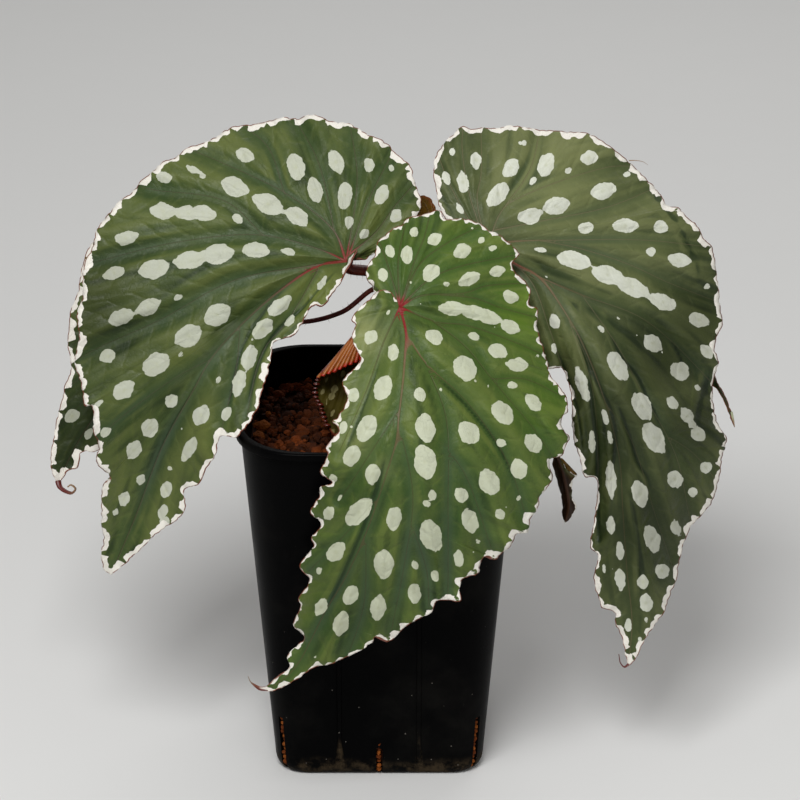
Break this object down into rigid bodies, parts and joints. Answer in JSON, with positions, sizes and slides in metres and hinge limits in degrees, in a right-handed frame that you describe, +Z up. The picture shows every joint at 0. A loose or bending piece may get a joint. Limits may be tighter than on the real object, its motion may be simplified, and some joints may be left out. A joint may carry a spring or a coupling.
{
  "type": "potted begonia",
  "caption": "Spotted-leaf begonia in a tall black plastic pot of red-brown clay granules, with large drooping toothed leaves on red stalks.",
  "frame": {"origin": "centre of the pot's underside, on the surface it stands on", "axes": "+Z up; the front, which the centre leaf hangs over, faces -Y; +X is the viewer's right"},
  "size_m": [0.2617, 0.1462, 0.2344],
  "materials": {
    "pot": "black plastic with a soft sheen",
    "clay": "dry, rough, granular",
    "stalk": "fleshy, red, slightly hairy",
    "leaf": "satin green with silvery spots, red underneath"
  },
  "bodies": {
    "root": {"pot": "pot", "clay_granules": "clay", "stem": "stalk", "leaf_left": "leaf", "leaf_centre": "leaf", "leaf_right": "leaf", "leaf_back_left": "leaf", "leaf_back_right": "leaf", "leaf_back_middle": "leaf", "leaf_young": "leaf", "leaf_small": "leaf"}
  },
  "joints": []
}
